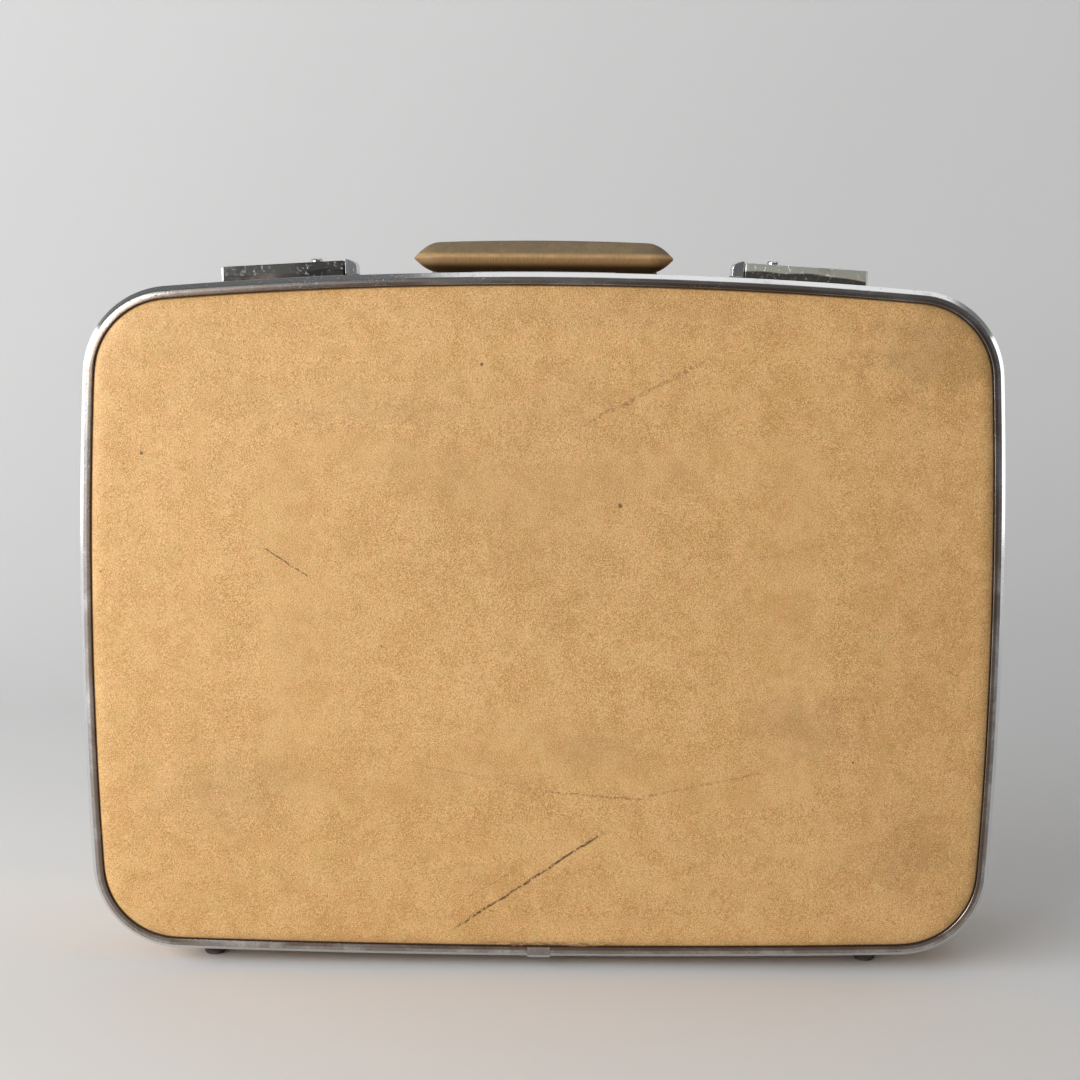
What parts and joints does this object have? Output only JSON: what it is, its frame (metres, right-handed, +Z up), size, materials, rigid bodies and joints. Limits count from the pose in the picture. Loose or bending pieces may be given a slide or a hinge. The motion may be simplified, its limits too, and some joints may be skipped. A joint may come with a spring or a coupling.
{
  "type": "hard shell suitcase",
  "caption": "Hard shell suitcase of two board and vinyl halves in metal edge mouldings, with a folding handle and flap latches.",
  "frame": {"origin": "on the floor, under the middle of the closed case's box", "axes": "+X to the right as the picture shows it, along the width; +Y through the depth, from the lid to the base half; +Z up"},
  "size_m": [0.56, 0.17, 0.4478],
  "materials": {
    "tan_vinyl": "satin tan marbled vinyl leathercloth",
    "edge_metal": "polished, dulled with age",
    "latch_chrome": "polished, worn",
    "fitting_steel": "satin plated steel",
    "grip_plastic": "satin",
    "shell_board": "matte fibreboard",
    "lining": "matte woven lining",
    "foot_rubber": "matte"
  },
  "bodies": {
    "base": {"base_band": "shell_board", "base_panel": "shell_board", "base_face_vinyl": "tan_vinyl", "base_side_vinyl": "tan_vinyl", "base_moulding": "edge_metal", "base_joint_clip": "edge_metal", "base_rail": "edge_metal", "base_lining": "lining", "left_hinge_base_leaf": "fitting_steel", "left_hinge_pin": "fitting_steel", "right_hinge_base_leaf": "fitting_steel", "right_hinge_pin": "fitting_steel", "hinge_base_rivets": "fitting_steel", "base_feet": "foot_rubber", "base_foot_screws": "fitting_steel", "left_handle_bracket": "fitting_steel", "right_handle_bracket": "fitting_steel", "left_handle_pin": "fitting_steel", "right_handle_pin": "fitting_steel", "handle_rivets": "fitting_steel", "left_latch_plate": "fitting_steel", "left_flap_pin": "fitting_steel", "left_slide_spring": "fitting_steel", "right_latch_plate": "fitting_steel", "right_flap_pin": "fitting_steel", "right_slide_spring": "fitting_steel", "latch_rivets": "fitting_steel"},
    "lid": {"lid_band": "shell_board", "lid_panel": "shell_board", "lid_face_vinyl": "tan_vinyl", "lid_side_vinyl": "tan_vinyl", "lid_moulding": "edge_metal", "lid_joint_clip": "edge_metal", "lid_rail": "edge_metal", "lid_lining": "lining", "left_hinge_lid_leaf": "fitting_steel", "right_hinge_lid_leaf": "fitting_steel", "hinge_lid_rivets": "fitting_steel", "lid_feet": "foot_rubber", "lid_foot_screws": "fitting_steel", "left_keeper": "fitting_steel", "right_keeper": "fitting_steel", "keeper_rivets": "fitting_steel"},
    "handle": {"handle_grip": "grip_plastic", "handle_core": "fitting_steel"},
    "left_flap": {"left_latch_flap": "latch_chrome", "left_latch_catch": "fitting_steel"},
    "left_slide": {"left_thumb_slide": "latch_chrome"},
    "left_barrel": {"left_lock_barrel": "latch_chrome"},
    "right_flap": {"right_latch_flap": "latch_chrome", "right_latch_catch": "fitting_steel"},
    "right_slide": {"right_thumb_slide": "latch_chrome"},
    "right_barrel": {"right_lock_barrel": "latch_chrome"}
  },
  "joints": [
    {"name": "lid_hinge", "type": "hinge", "parent": "base", "child": "lid", "pos_m": [0, 0, 0.00539], "axis": [1, 0, 0], "range_deg": [0, 100]},
    {"name": "handle_swing", "type": "hinge", "parent": "base", "child": "handle", "pos_m": [0, 0.01, 0.4381], "axis": [-1, 0, 0], "range_deg": [0, 180]},
    {"name": "left_flap_hinge", "type": "hinge", "parent": "base", "child": "left_flap", "pos_m": [-0.16027, 0.02, 0.42777], "axis": [-0.9983, 0, -0.059], "range_deg": [0, 95]},
    {"name": "left_slide_travel", "type": "slide", "parent": "base", "child": "left_slide", "axis": [0.9983, 0, 0.059], "range_m": [0, 0.006], "stiffness_N_per_m": 250, "springref_m": -0.003, "deforming": ["left_slide_spring"]},
    {"name": "left_lock_turn", "type": "hinge", "parent": "left_flap", "child": "left_barrel", "pos_m": [-0.14328, -0.003, 0.42847], "axis": [-0.059, 0, 0.9983], "range_deg": [0, 90]},
    {"name": "right_flap_hinge", "type": "hinge", "parent": "base", "child": "right_flap", "pos_m": [0.16027, 0.02, 0.42777], "axis": [-0.9983, 0, 0.059], "range_deg": [0, 95]},
    {"name": "right_slide_travel", "type": "slide", "parent": "base", "child": "right_slide", "axis": [-0.9983, 0, 0.059], "range_m": [0, 0.006], "stiffness_N_per_m": 250, "springref_m": -0.003, "deforming": ["right_slide_spring"]},
    {"name": "right_lock_turn", "type": "hinge", "parent": "right_flap", "child": "right_barrel", "pos_m": [0.14328, -0.003, 0.42847], "axis": [0.059, 0, 0.9983], "range_deg": [0, 90]}
  ]
}
